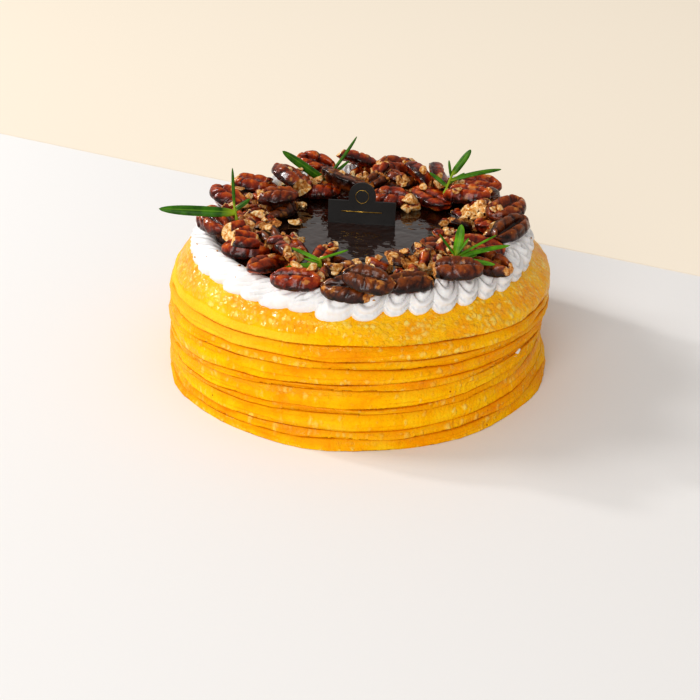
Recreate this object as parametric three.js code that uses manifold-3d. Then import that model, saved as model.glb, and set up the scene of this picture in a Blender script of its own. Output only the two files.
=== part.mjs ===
// Whole crepe cake: ten draped crepes, a piped cream border, a dark glaze with chopped nuts,
// a wreath of pecan halves, five sprigs of rosemary and a plain black card.
// Millimetres, +Z up, the front is -Y. The origin is the centre of the flat underside.
import * as THREE from 'three';
import { mergeVertices } from 'three/addons/utils/BufferGeometryUtils.js';
import Module from 'manifold-3d';

const wasm = await Module();
wasm.setup();

// ---------------------------------------------------------------- driving dimensions
const GAP = 0.3; // air between pieces that touch
const TURN = Math.PI * 2;

const TOP_HEIGHT = 65; // flat top of the stack of crepes
const FLAT_RADIUS = 75; // the top is flat out to here, then rounds over
const TOP_SHIFT = { x: 1.2, y: 6.5 }; // how far the hand-laid stack leans by its top

const BORDER_RADIUS = 81; // centre line of the piped cream
const BORDER_HEIGHT = 65;
const BORDER_SHELLS = 42;

const GLAZE_RADIUS = 69.5;
const GLAZE_DEPTH = 2.2;

const CARD_WIDTH = 35;
const CARD_SHOULDER = 12.1; // height of the card's straight part above the glaze
const CARD_HEIGHT = 21.8; // to the top of the round tab
const CARD_THICKNESS = 0.9;
const CARD_SUNK = 1.5; // how far the card stands in the glaze
const CARD_PLACE = { x: -0.1, y: 6.6, turn: -6.6 };

const KERNEL = { length: 25.5, width: 14.6, thickness: 8.4 }; // a middling pecan half

const colours = {
  crepe: 0xf2a81c,
  cream: 0xf7f2ec,
  glaze: 0x24110a,
  pecan: 0x6b2a17,
  card: 0x15120f,
  leaf: 0x3f6b23,
};

// ---------------------------------------------------------------- small tools
// Repeatable random numbers in 0..1.
function seeded(seed) {
  let state = seed;
  return () => {
    state = (state * 48271) % 2147483647;
    return state / 2147483647;
  };
}

const spread = (random, middle, range) => middle + (random() * 2 - 1) * range;
const lerp = (a, b, t) => a + (b - a) * t;
const rad = THREE.MathUtils.degToRad;
const polar = (radius, angle, z) =>
  new THREE.Vector3(radius * Math.cos(angle), radius * Math.sin(angle), z);
const circle = (sides, point) =>
  Array.from({ length: sides }, (_, j) => point((j / sides) * TURN));

// A closed skin over rings of equal length. With poles the ends close on a point, without
// them the last ring joins the first. Each square is split along its shorter diagonal.
function loft(rings, poles) {
  const around = rings[0].length;
  const points = rings.flat();
  const faces = [];
  const at = (ring, j) => ring * around + (j % around);
  const steps = poles ? rings.length - 1 : rings.length;
  for (let i = 0; i < steps; i++) {
    const next = (i + 1) % rings.length;
    for (let j = 0; j < around; j++) {
      const [a, b, c, d] = [at(i, j), at(i, j + 1), at(next, j + 1), at(next, j)];
      if (points[a].distanceTo(points[c]) < points[b].distanceTo(points[d])) {
        faces.push([a, b, c], [a, c, d]);
      } else {
        faces.push([a, b, d], [b, c, d]);
      }
    }
  }
  if (poles) {
    const last = rings.length - 1;
    const [first, end] = [points.length, points.length + 1];
    points.push(poles[0], poles[1]);
    for (let j = 0; j < around; j++) {
      faces.push([first, at(0, j + 1), at(0, j)], [end, at(last, j), at(last, j + 1)]);
    }
  }
  return closedGeometry(points, faces);
}

// An indexed geometry whose faces point outwards, whichever way they were listed.
function closedGeometry(points, faces) {
  let volume = 0;
  for (const [a, b, c] of faces) {
    volume += points[a].dot(points[b].clone().cross(points[c]));
  }
  const listed = volume > 0 ? faces : faces.map(([a, b, c]) => [a, c, b]);
  const geometry = new THREE.BufferGeometry().setFromPoints(points);
  geometry.setIndex(listed.flat());
  return geometry;
}

function solidFrom(geometry) {
  const bare = geometry.clone();
  bare.deleteAttribute('normal');
  bare.deleteAttribute('uv');
  const merged = mergeVertices(bare, 1e-4);
  return new wasm.Manifold(
    new wasm.Mesh({
      numProp: 3,
      vertProperties: new Float32Array(merged.attributes.position.array),
      triVerts: new Uint32Array(merged.index.array),
    }),
  );
}

function geometryFrom(solid) {
  const mesh = solid.getMesh();
  const geometry = new THREE.BufferGeometry();
  geometry.setAttribute('position', new THREE.BufferAttribute(mesh.vertProperties, 3));
  geometry.setIndex(new THREE.BufferAttribute(mesh.triVerts, 1));
  return geometry;
}

// ---------------------------------------------------------------- stack of crepes
// Outline of the stack from the base to the flat top, as [radius, height].
const outline = new THREE.SplineCurve(
  [
    [98.3, 0], [97.4, 10], [97.4, 20], [97.8, 28], [97.6, 36], [96.8, 42.5],
    [95.2, 48.5], [92.4, 53.2], [89.6, 57], [86.2, 60.4], [82, 63.2], [FLAT_RADIUS, TOP_HEIGHT],
  ].map(([radius, height]) => new THREE.Vector2(radius, height)),
).getPoints(100);

// On the right the wall is drawn in at half height and the crepes above swell over it.
const WAIST = { height: 24, range: 13, depth: 4.2 };
const SWELL = { height: 50.5, range: 5.5, depth: 2.6 };

function wallRadius(height, angle) {
  const i = Math.max(1, outline.findIndex((p) => p.y >= height));
  const [low, high] = [outline[i - 1], outline[i]];
  const round = lerp(low.x, high.x, (height - low.y) / (high.y - low.y));
  const right = Math.max(0, Math.cos(angle)) ** 2;
  const bump = ({ height: at, range, depth }) =>
    depth * Math.exp(-(((height - at) / range) ** 2));
  return round + right * (bump(SWELL) - bump(WAIST));
}

// Height of the stack's skin over a place near its rim.
function shoulderHeight(radius) {
  const i = outline.findIndex((p) => p.y > 0.7 * TOP_HEIGHT && p.x <= radius);
  return i < 0 ? TOP_HEIGHT : outline[i].y;
}

const CREPE_SIDES = 40;
const BED_RADIUS = 62; // the crepes lie flat out to here, then drape over those below
const BEDS = [0, 7.3, 13.8, 21.5, 27.5, 35.3, 41.3, 48.2, 53.8, 59.4]; // height of each crepe's flat middle
// Height of each crepe's hem in front, on the right, behind and on the left.
const HEMS = [
  [0, 0, 0, 0],
  [5.4, 6.6, 5, 3.2],
  [9.4, 12.4, 9.4, 8],
  [18.3, 20.4, 15.6, 11.4],
  [20.9, 25.4, 19.6, 14.4],
  [30.4, 29.4, 25.4, 19.5],
  [33.2, 33.2, 30, 22.8],
  [40.6, 36.2, 36, 34],
  [44.2, 40, 40.4, 39.6],
  [50.6, 45.4, 45.6, 45.4],
];
const HEM_TUCK = 2.6; // a crepe's top edge is tucked this far under the hem above
const HEM_LIP = 0.6; // and each hem stands proud of the wall by about this much
const hemWaves = HEMS.map((_, k) => {
  const random = seeded(1201 + 77 * k);
  return [3, 5, 8].map((cycles) => ({ cycles, phase: random() * TURN, size: random() }));
});

const wave = (k, angle) =>
  hemWaves[k].reduce((sum, w) => sum + w.size * Math.cos(w.cycles * angle + w.phase), 0);

function hemHeight(k, angle) {
  const [x, y] = [Math.cos(angle), Math.sin(angle)];
  const [front, right, back, left] = HEMS[k];
  const level = x * x * (x > 0 ? right : left) + y * y * (y > 0 ? back : front);
  return k === 0 ? 0 : level + 0.35 * wave(k, angle);
}

// The edge between crepe k and the one under it, at the wall.
function border(k, angle, lift, tuck) {
  const height = hemHeight(k, angle);
  return polar(wallRadius(height, angle) - tuck, angle, height + lift);
}

function crepeGeometry(k) {
  const half = k === 0 ? 0 : GAP / 2;
  const ring = (point) => circle(CREPE_SIDES, point);
  const lip = (a) => HEM_LIP + 0.25 * wave(k, a);
  const rings = [
    ring((a) => polar(BED_RADIUS, a, BEDS[k] + half)),
    ring((a) => border(k, a, half, HEM_TUCK)),
    ring((a) => border(k, a, half + (k === 0 ? 0 : 0.4), -lip(a))),
  ];
  const foot = new THREE.Vector3(0, 0, BEDS[k] + half);
  if (k < HEMS.length - 1) {
    const head = BEDS[k + 1] - GAP / 2;
    rings.push(
      ring((a) => {
        const height = lerp(hemHeight(k, a), hemHeight(k + 1, a), 0.55);
        return polar(wallRadius(height, a) + 0.7 * lip(a + 0.3), a, height);
      }),
      ring((a) => border(k + 1, a, -GAP / 2, HEM_TUCK)),
      ring((a) => polar(BED_RADIUS, a, head)),
    );
    return loft(rings, [foot, new THREE.Vector3(0, 0, head)]);
  }
  // The top crepe covers the shoulder of the stack.
  for (const height of [53.4, 57.6, 61, 63.7]) {
    rings.push(ring((a) => polar(wallRadius(height, a), a, height)));
  }
  rings.push(ring((a) => polar(FLAT_RADIUS, a, TOP_HEIGHT)));
  return loft(rings, [foot, new THREE.Vector3(0, 0, TOP_HEIGHT)]);
}

// ---------------------------------------------------------------- piped cream border
// Section of the cream, out from its centre line and up from BORDER_HEIGHT, and its foot,
// which follows the shoulder of the stack.
const CREAM_SECTION = [[-8.8, 1.2], [-6, 3.8], [-0.6, 5.8], [4.8, 3], [8.6, -4.4]];
const CREAM_FOOT = [4.6, 0.9, -7.6];
const CREAM_LIFT = 0.7; // of the foot over the crepe, whose sides are flat facets
const SHELL_SWELL = [0.8, 1.02, 1.06, 0.92]; // a shell swells quickly and tapers to the next

// A rope of shells: each leans out over the rim, with its ridges wound round it.
function creamGeometry() {
  const samples = SHELL_SWELL.length;
  const steps = BORDER_SHELLS * samples;
  const random = seeded(52);
  const sizes = Array.from({ length: BORDER_SHELLS }, () => spread(random, 1, 0.05));
  const rings = Array.from({ length: steps }, (_, i) => {
    const shell = Math.floor(i / samples);
    const swell = SHELL_SWELL[i % samples] * sizes[shell];
    const foot = CREAM_FOOT.map((out) => BORDER_RADIUS + out).map((radius) =>
      polar(radius, (i / steps) * TURN, shoulderHeight(radius) + CREAM_LIFT),
    );
    const skin = CREAM_SECTION.map(([out, up], j) => {
      const ridge = swell * (1 + 0.07 * Math.cos((j / 2 + i / samples) * TURN));
      const angle = ((i + 0.1 * out) / steps) * TURN;
      return polar(BORDER_RADIUS + out * ridge, angle, BORDER_HEIGHT + up * ridge);
    });
    return [...skin, ...foot];
  });
  return loft(rings, null);
}

// ---------------------------------------------------------------- glaze and card
const GLAZE_FOOT = TOP_HEIGHT + GAP;
const GLAZE_TOP = GLAZE_FOOT + GLAZE_DEPTH;

function glazeDisc() {
  const ring = (radius, z) => circle(CREPE_SIDES, (a) => polar(radius, a, z));
  return loft(
    [
      ring(GLAZE_RADIUS, GLAZE_FOOT),
      ring(GLAZE_RADIUS, GLAZE_TOP - 0.9),
      ring(GLAZE_RADIUS - 1, GLAZE_TOP),
    ],
    [new THREE.Vector3(0, 0, GLAZE_FOOT), new THREE.Vector3(0, 0, GLAZE_TOP)],
  );
}

function cardGeometry(grow) {
  const shape = new THREE.Shape();
  const tab = 7; // radius of the round tab
  const half = CARD_WIDTH / 2 + grow;
  shape.moveTo(-half, -CARD_SUNK - grow);
  shape.lineTo(half, -CARD_SUNK - grow);
  shape.lineTo(half, CARD_SHOULDER);
  shape.lineTo(tab, CARD_SHOULDER);
  shape.absarc(0, CARD_HEIGHT - tab, tab, 0, Math.PI, false);
  shape.lineTo(-tab, CARD_SHOULDER);
  shape.lineTo(-half, CARD_SHOULDER);
  const depth = CARD_THICKNESS + 2 * grow;
  return new THREE.ExtrudeGeometry(shape, { depth, bevelEnabled: false, curveSegments: 10 })
    .translate(0, 0, -depth / 2)
    .rotateX(Math.PI / 2)
    .rotateZ(rad(CARD_PLACE.turn))
    .translate(CARD_PLACE.x, CARD_PLACE.y, GLAZE_TOP);
}

// ---------------------------------------------------------------- pecan halves
// Half a kernel lying on its flat side: two lobes with a groove above and below.
// Each corner of the section is [share of half the width, share of the thickness].
const KERNEL_SECTION = [
  [-1, 0.32], [-0.58, 0.02], [0, 0.24], [0.58, 0.02], [1, 0.32], [0.55, 0.97], [0, 0.64], [-0.55, 0.97],
];
const KERNEL_STATIONS = [[-0.42, 0.6], [-0.23, 0.92], [0, 1], [0.23, 0.92], [0.42, 0.6]];

function pecanGeometry(length, width, thickness) {
  const middle = 0.4 * thickness;
  const rings = KERNEL_STATIONS.map(([along, size]) =>
    KERNEL_SECTION.map(([y, z]) => {
      const share = lerp(0.4, z, 0.35 + 0.65 * size);
      return new THREE.Vector3(along * length, (y * size * width) / 2, share * thickness - middle);
    }),
  );
  const tip = (side) => new THREE.Vector3((side * length) / 2, 0, 0);
  return loft(rings, [tip(-1), tip(1)]);
}

// Where the halves lie, from the glaze up: the angle round the wreath and the distance from
// its centre, then the compass angle of the long axis, the rise of that end and the roll.
const WREATH = [
  [65, 36, -1, 0, 20], [119, 48, -13, 0, 10], [39, 48, -48, -4, 180], [159, 45, 44, 3, 0],
  [-173, 52, 35, -6, 0], [-134, 51, -38, -3, 20], [-101, 57, -33, 0, 0], [-37, 49, 31, 5, 180],
  [15, 65, 74, 8, 0], [-33, 67, -1, 0, 0], [-62, 61, 21, 6, 180], [-128, 71, 58, 0, 0],
  [-112, 80, -7, 0, 20], [-146, 68, -2, -12, 0], [-160, 65, -22, -10, 30],
  [-94, 83, -16, 0, 20], [-74, 80, 17, 6, 0], [-43, 82, -39, 8, 20], [-58, 83, 0, 8, 0],
  [-168, 76, -64, -4, 20], [-88, 86, -9, 0, 20], [-2, 69, 28, 10, 180], [-17, 77, 55, 12, 20],
  [-2, 73, 32, 20, 0], [37, 78, -30, -4, 20], [162, 47, -4, 10, 0], [161, 74, 149, 30, 0],
  [143, 73, 175, 16, 0], [134, 56, 142, 18, 20], [104, 42, -16, -4, 160], [71, 54, 8, 0, 180],
  [109, 79, -12, -10, 40], [92, 75, 173, 30, 30], [75, 73, 11, 0, 20], [59, 61, 115, 22, 40],
  [47, 59, 95, 0, 75], [20, 58, -31, 0, 0],
];
const TRIES = { kernel: 10, sprig: 40 };

function attitude([angle, radius, compass, rise, roll], random, loose) {
  const matrices = [
    new THREE.Matrix4().makeRotationZ(rad(spread(random, compass, loose))),
    new THREE.Matrix4().makeRotationY(-rad(spread(random, rise, loose))),
    new THREE.Matrix4().makeRotationX(rad(spread(random, roll, loose))),
  ];
  const place = new THREE.Matrix4().makeTranslation(polar(radius, rad(angle), 0));
  return matrices.reduce((whole, m) => whole.multiply(m), place);
}

// Lowers a solid on to the pile until it is about to touch, and returns it there.
function lowered(solid, pile, start) {
  const box = solid.boundingBox();
  const below = pile.filter((item) => {
    const other = item.boundingBox();
    return [0, 1].every((i) => other.min[i] < box.max[i] && box.min[i] < other.max[i]);
  });
  const free = (z) => {
    const moved = solid.translate([0, 0, z]);
    return below.every((item) => moved.intersect(item).isEmpty());
  };
  let high = start;
  while (free(high - 3)) high -= 3;
  let low = high - 3;
  for (let i = 0; i < 5; i++) {
    const middle = (low + high) / 2;
    if (free(middle)) high = middle;
    else low = middle;
  }
  return solid.translate([0, 0, high + 0.1]);
}

// Of several trials of one piece, the one whose middle lies lowest.
function settled(trial, tries, pile) {
  const middle = (solid) => solid.boundingBox().min[2] + solid.boundingBox().max[2];
  const trials = Array.from({ length: tries }, () => lowered(trial(), pile, GLAZE_TOP + 60));
  return trials.sort((a, b) => middle(a) - middle(b))[0];
}

function pecanWreath(pile) {
  const random = seeded(4417);
  return WREATH.map((row) => {
    const kernel = solidFrom(
      pecanGeometry(
        spread(random, KERNEL.length, 3),
        spread(random, KERNEL.width, 2),
        spread(random, KERNEL.thickness, 0.9),
      ),
    );
    const trial = () => kernel.transform(attitude(row, random, 12).elements);
    const pecan = settled(trial, TRIES.kernel, pile);
    pile.push(pecan);
    return pecan;
  });
}

// Chopped nuts on the glaze, in the gaps of the wreath and along its inner edge.
const BITS = { count: 40, tries: 500, centre: -5.5, nearest: 41, farthest: 68.5 };

function nutBits(pecans) {
  const random = seeded(905);
  const bits = [];
  for (let i = 0; i < BITS.tries && bits.length < BITS.count; i++) {
    const size = spread(random, 2.1, 0.8);
    const angle = random() * TURN;
    const out = lerp(BITS.nearest, BITS.farthest - size, random() ** 1.5);
    const place = polar(out, angle, GLAZE_TOP + 0.35 * size);
    place.y += BITS.centre * (1 - out / BITS.farthest);
    const bit = new THREE.OctahedronGeometry(1.1 * size, 0).scale(1.2, 0.85, 0.7);
    bit.rotateX(random() * TURN).rotateZ(random() * TURN);
    const clear = solidFrom(bit.clone().scale(1.15, 1.15, 1.15).translate(...place.toArray()));
    if (pecans.every((pecan) => clear.intersect(pecan).isEmpty())) {
      bits.push(solidFrom(bit.translate(...place.toArray())));
    }
  }
  return bits;
}

// ---------------------------------------------------------------- rosemary
// Each sprig: where its stem stands, the stem's height, the compass angle and lean of the
// stem, and its leaves from the bottom up as [compass, elevation, length, width, droop, roll].
const SPRIGS = {
  rosemary_left: {
    at: [-64, -18], stem: 5, compass: 180, lean: 8,
    leaves: [[182, 4, 38, 5.4, 2, -50], [20, 36, 9, 3.2, 1, 20], [100, 72, 19, 1.6, -2, 0]],
  },
  rosemary_back: {
    at: [-21, 53], stem: 7, compass: 20, lean: 10,
    leaves: [
      [187, 39, 31, 5, 2, -55], [170, 30, 13, 2.8, 1, -30], [15, 40, 14, 2, 1, 30],
      [24, 47, 25, 2, -3, 30],
    ],
  },
  rosemary_right_back: {
    at: [47, 26], stem: 9, compass: 10, lean: 20,
    leaves: [
      [158, 37, 12, 2.5, 2, -30], [10, 36, 10, 2, 1, 30], [-5, 24, 27, 3.2, 6, 30],
      [120, 72, 9, 1.6, 0, 0], [12, 54, 16, 3.8, 0, 50],
    ],
  },
  rosemary_right_front: {
    at: [47, -55], stem: 4, compass: 10, lean: 8,
    leaves: [
      [5, 18, 11, 2.2, 1, 20], [-28, 12, 20, 3.4, 3, 20], [3, 24, 26, 3.2, 6, 20],
      [14, 28, 22, 1.6, 1, 0], [160, 50, 13, 1.7, 0, 0], [20, 51, 10, 2, 0, 0],
      [64, 68, 14, 4.6, 0, 0],
    ],
  },
  rosemary_front: {
    at: [-16, -58], stem: 4, compass: 180, lean: 5,
    leaves: [
      [-150, 10, 19, 3.8, 2, -30], [180, 14, 8, 2, 0, 0], [165, 24, 15, 2.4, 2, -20],
      [12, 14, 14, 1.8, 0, 0],
    ],
  },
};

// A leaf: a narrow blade, thickest along its middle, that droops towards the tip.
function leafGeometry([compass, elevation, length, width, droop, roll]) {
  const rings = [[0.06, 0.4], [0.3, 0.95], [0.6, 1], [0.85, 0.6]].map(([t, share]) => {
    const half = (width * share) / 2;
    const sag = -droop * t * t;
    return [[-half, 0], [0, -0.5], [half, 0], [0, 0.35]].map(
      ([across, up]) => new THREE.Vector3(t * length, across, sag + up),
    );
  });
  const tips = [new THREE.Vector3(-0.6, 0, 0), new THREE.Vector3(length, 0, -droop)];
  return loft(rings, tips).rotateX(rad(roll)).rotateY(-rad(elevation)).rotateZ(rad(compass));
}

function sprigSolid({ stem, compass, lean, leaves }) {
  const along = (t) =>
    polar(t * Math.sin(rad(lean)), rad(compass), t * Math.cos(rad(lean)));
  const stalk = new THREE.CylinderGeometry(0.7, 1.1, stem + 3, 6)
    .translate(0, (stem - 3) / 2, 0)
    .rotateX(Math.PI / 2)
    .rotateY(rad(lean))
    .rotateZ(rad(compass));
  return leaves.reduce((sprig, leaf, i) => {
    const foot = along((stem * (i + 0.7)) / leaves.length);
    return sprig.add(solidFrom(leafGeometry(leaf)).translate(foot.toArray()));
  }, solidFrom(stalk));
}

// ---------------------------------------------------------------- assembly
const cake = new THREE.Group();
cake.name = 'crepe_cake';

// The stack leans a little, and everything on it goes along.
const lean = new THREE.Matrix4();
lean.elements[8] = TOP_SHIFT.x / TOP_HEIGHT;
lean.elements[9] = TOP_SHIFT.y / TOP_HEIGHT;

function add(name, geometry, colour, roughness) {
  const material = new THREE.MeshStandardMaterial({ color: colour, roughness });
  const mesh = new THREE.Mesh(geometry.clone().applyMatrix4(lean), material);
  mesh.name = name;
  cake.add(mesh);
}

const twoDigits = (i) => String(i + 1).padStart(2, '0');

const crepes = HEMS.map((_, k) => crepeGeometry(k));
crepes.forEach((geometry, k) => add(`crepe_${twoDigits(k)}`, geometry, colours.crepe, 0.42));

const cream = creamGeometry();
add('cream_border', cream, colours.cream, 0.55);

const card = cardGeometry(0);
add('card', card, colours.card, 0.4);

const disc = solidFrom(glazeDisc());
const pile = [solidFrom(crepes[crepes.length - 1]), solidFrom(cream), disc, solidFrom(card)];
const pecans = pecanWreath(pile);
pecans.forEach((solid, i) =>
  add(`pecan_${twoDigits(i)}`, geometryFrom(solid), colours.pecan, 0.38),
);

const glaze = nutBits(pecans)
  .reduce((whole, bit) => whole.add(bit), disc)
  .subtract(solidFrom(cardGeometry(GAP)));
add('glaze', geometryFrom(glaze), colours.glaze, 0.12);
pile.push(glaze);

const drift = seeded(77);
for (const [name, sprig] of Object.entries(SPRIGS)) {
  const solid = sprigSolid(sprig);
  const [x, y] = sprig.at;
  const trial = () => solid.translate([spread(drift, x, 4), spread(drift, y, 4), 0]);
  const placed = settled(trial, TRIES.sprig, pile);
  pile.push(placed);
  add(name, geometryFrom(placed), colours.leaf, 0.45);
}

export default cake;
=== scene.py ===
import random
from bisect import bisect_left
from functools import cache, partial
from math import atan2, cos, dist, exp, hypot, pi, radians, sin, sqrt

import bpy
from mathutils import Matrix, Vector, noise
from mathutils.bvhtree import BVHTree


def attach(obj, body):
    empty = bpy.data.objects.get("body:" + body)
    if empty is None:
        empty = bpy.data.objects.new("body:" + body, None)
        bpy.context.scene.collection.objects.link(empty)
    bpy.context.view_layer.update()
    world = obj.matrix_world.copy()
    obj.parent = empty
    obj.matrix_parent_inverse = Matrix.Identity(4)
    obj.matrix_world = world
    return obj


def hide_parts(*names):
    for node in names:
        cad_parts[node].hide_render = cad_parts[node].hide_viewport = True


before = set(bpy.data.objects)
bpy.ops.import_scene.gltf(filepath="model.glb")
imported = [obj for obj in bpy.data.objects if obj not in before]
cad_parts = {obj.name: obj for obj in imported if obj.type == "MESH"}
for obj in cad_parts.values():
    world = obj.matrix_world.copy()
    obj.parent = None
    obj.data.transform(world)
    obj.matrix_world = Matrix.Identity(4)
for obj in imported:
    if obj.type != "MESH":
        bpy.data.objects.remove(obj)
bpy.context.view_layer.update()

mm = 0.001
turn = 2 * pi

# ---- camera
cameraView = {
    "location": (0, -0.63075, 0.34356),
    "rotation": (61.441, -0.568, 0.665),  # degrees
    "lens": 69.34,
}
bpy.ops.object.camera_add(
    location=cameraView["location"],
    rotation=[radians(a) for a in cameraView["rotation"]],
)
camera = bpy.context.object
camera.data.lens = cameraView["lens"]
camera.data.clip_start = 0.01
bpy.context.scene.camera = camera


# ---- small tools
def lerp(a, b, t):
    return a + (b - a) * t


def clamp(value, low=0.0, high=1.0):
    return max(low, min(high, value))


def smooth(low, high, value):
    t = clamp((value - low) / (high - low))
    return t * t * (3 - 2 * t)


def polar(radius, angle):
    return radius * cos(angle), radius * sin(angle)


def noiseAt(x, y, z):
    return noise.noise(Vector((x, y, z)))


def colour(hexCode):
    # sRGB hex to the linear values that shaders use
    channels = [int(hexCode[i:i + 2], 16) / 255 for i in (0, 2, 4)]
    return [c / 12.92 if c <= 0.04045 else ((c + 0.055) / 1.055) ** 2.4 for c in channels] + [1]


def connect(node, inputs):
    # an input takes a value, a hex colour, a socket, or the first output that another node uses
    for name, value in inputs.items():
        if isinstance(value, str):
            value = colour(value)
        if isinstance(value, bpy.types.Node):
            value = next(output for output in value.outputs if output.enabled)
        if isinstance(value, bpy.types.NodeSocket):
            node.id_data.links.new(value, node.inputs[name])
        else:
            node.inputs[name].default_value = value


def addNode(tree, kind, inputs=None, stops=(), **settings):
    # a shader node with its settings, its values or links, and the stops of its ramp
    node = tree.nodes.new("ShaderNode" + kind)
    if kind == "Mix":
        node.data_type = "RGBA"
    for name, value in settings.items():
        setattr(node, name, value)
    connect(node, inputs or {})
    for i, (place, shade) in enumerate(stops):
        ramp = node.color_ramp.elements
        stop = ramp[i] if i < 2 else ramp.new(place)
        stop.position = place
        stop.color = colour(shade)
    return node


def newMaterial(name, **values):
    # the material, a function that adds nodes to it, and its shader
    material = bpy.data.materials.new(name)
    material.use_nodes = True
    shader = material.node_tree.nodes["Principled BSDF"]
    connect(shader, {socket.replace("_", " "): value for socket, value in values.items()})
    return material, partial(addNode, material.node_tree), shader


def mottledMaterial(name, lumps, shades, grain=None, **values):
    # two shades over lumps of a size in metres, and bumps: their size, detail, strength and depth
    material, add, shader = newMaterial(name, **values)
    here = add("TexCoord").outputs["Object"]
    tint = add("TexNoise", {"Vector": here, "Scale": 1 / lumps, "Detail": 3})
    mottle = add("ValToRGB", {"Fac": tint}, stops=zip((0.3, 0.7), shades))
    connect(shader, {"Base Color": mottle})
    if grain:
        size, detail, strength, depth = grain
        bumps = add("TexNoise", {"Vector": here, "Scale": 1 / size, "Detail": detail})
        bump = add("Bump", {"Height": bumps, "Strength": strength, "Distance": depth})
        connect(shader, {"Normal": bump, "Coat Normal": bump})
    return material


def editAll():
    bpy.ops.object.mode_set(mode="EDIT")
    bpy.ops.mesh.select_all(action="SELECT")


def editDone():
    bpy.ops.object.mode_set(mode="OBJECT")


def only(*pieces):
    bpy.ops.object.select_all(action="DESELECT")
    for piece in pieces:
        piece.select_set(True)
    bpy.context.view_layer.objects.active = pieces[0]


def primitive(kind, **settings):
    # a new mesh, the only one selected, with its place, turn and scale applied
    getattr(bpy.ops.mesh, f"primitive_{kind}_add")(**settings)
    bpy.ops.object.transform_apply()
    return bpy.context.object


def modified(piece, kind, **settings):
    only(piece)
    modifier = piece.modifiers.new("change", kind)
    for name, value in settings.items():
        setattr(modifier, name, value)
    bpy.ops.object.modifier_apply(modifier="change")


def joined(pieces):
    only(*pieces)
    bpy.ops.object.join()
    return bpy.context.object


def landing(pile, x, y):
    # where a thing let fall at x, y millimetres comes to lie, and the slope there
    return pile.ray_cast(Vector((x * mm, y * mm, 0.13)), Vector((0, 0, -1)))[:2]


def copyOf(piece):
    twin = piece.copy()
    twin.data = piece.data.copy()
    bpy.context.collection.objects.link(twin)
    return twin


def splitEdges(piece, cuts, chosen):
    # cuts every edge whose two ends pass the test
    editAll()
    bpy.ops.mesh.select_mode(type="EDGE")
    bpy.ops.mesh.select_all(action="DESELECT")
    editDone()
    points = piece.data.vertices
    for edge in piece.data.edges:
        edge.select = chosen(*(points[i].co for i in edge.vertices))
    bpy.ops.object.mode_set(mode="EDIT")
    bpy.ops.mesh.subdivide(number_cuts=cuts)
    editDone()


def tube(sides, rows):
    # a closed cylinder with its rows at whole heights, ready to be shaped
    piece = primitive(
        "cylinder", vertices=sides, radius=1, depth=rows - 1, end_fill_type="TRIFAN",
        location=(0, 0, (rows - 1) / 2),
    )
    splitEdges(piece, rows - 2, lambda a, b: abs(a.z - b.z) > 0.5)
    return piece


def store(piece, **marks):
    # a number or a vector for every vertex, for the material to read by name
    for name, values in marks.items():
        vector = isinstance(values[0], tuple)
        kind, field = ("FLOAT_VECTOR", "vector") if vector else ("FLOAT", "value")
        attribute = piece.data.attributes.new(name, kind, "POINT")
        flat = [part for value in values for part in value] if vector else values
        attribute.data.foreach_set(field, flat)


def shapeTube(piece, place):
    # place(row, angle) gives each point in millimetres, or (row, None) for an end's middle,
    # and what to store there
    notes = []
    for vertex in piece.data.vertices:
        x, y, z = vertex.co
        angle = round(atan2(y, x), 5) if hypot(x, y) > 0.5 else None
        point, marks = place(round(z), angle)
        vertex.co = Vector(point) * mm
        notes.append(marks)
    store(piece, **{name: [marks[name] for marks in notes] for name in notes[0]})


def finishPiece(piece, name, material, node=None):
    piece.name = name
    piece.data.name = name
    piece.data.materials.append(material)
    piece.data.shade_smooth()
    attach(piece, "root")
    if node:
        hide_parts(node)
    return piece


def hashed(seed):
    # the same repeatable draws as the solids' hems are made with
    while True:
        seed = seed * 48271 % 2147483647
        yield seed / 2147483647


# ---- the stack of crepes, in millimetres
stack = {
    "topHeight": 65,
    "topShift": (1.2, 6.5),  # the hand-laid stack leans
    "outline": [
        (98.3, 0), (97.4, 10), (97.4, 20), (97.8, 28), (97.6, 36), (96.8, 42.5),
        (95.2, 48.5), (92.4, 53.2), (89.6, 57), (86.2, 60.4), (82, 63.2), (75, 65),
    ],
    "waist": (24, 13, 4.2),  # on the right: height, range, depth
    "swell": (50.5, 5.5, 2.6),
    "bedRadius": 62,
    "beds": [0, 7.3, 13.8, 21.5, 27.5, 35.3, 41.3, 48.2, 53.8, 59.4, 65],
    "hems": [  # in front, on the right, behind and on the left
        (0, 0, 0, 0), (5.4, 6.6, 5, 3.2), (9.4, 12.4, 9.4, 8), (18.3, 20.4, 15.6, 11.4),
        (20.9, 25.4, 19.6, 14.4), (30.4, 29.4, 25.4, 19.5), (33.2, 33.2, 30, 22.8),
        (40.6, 36.2, 36, 34), (44.2, 40, 40.4, 39.6), (50.6, 45.4, 45.6, 45.4),
    ],
    "gap": 0.15,
    "drum": 97,  # the radius that noise and texture are wrapped on
    "waves": [(1.1, 42, 7, 20), (0.45, 19, 2.6, 9)],  # depth, width, height, step per crepe
    "around": 590,
    "rowPitch": 0.5,
    "topRows": 34,  # the length of the top crepe's wall and shoulder that gets rows
    "pleats": [2, 1, 3, 1, 3, 1, 2, 1, 2, 0],  # loose edges that show between two hems
}
hems = stack["hems"]
topCrepe = len(hems) - 1


def leaning(x, y, z):
    share = z / stack["topHeight"]
    return (x + stack["topShift"][0] * share, y + stack["topShift"][1] * share, z)


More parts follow.
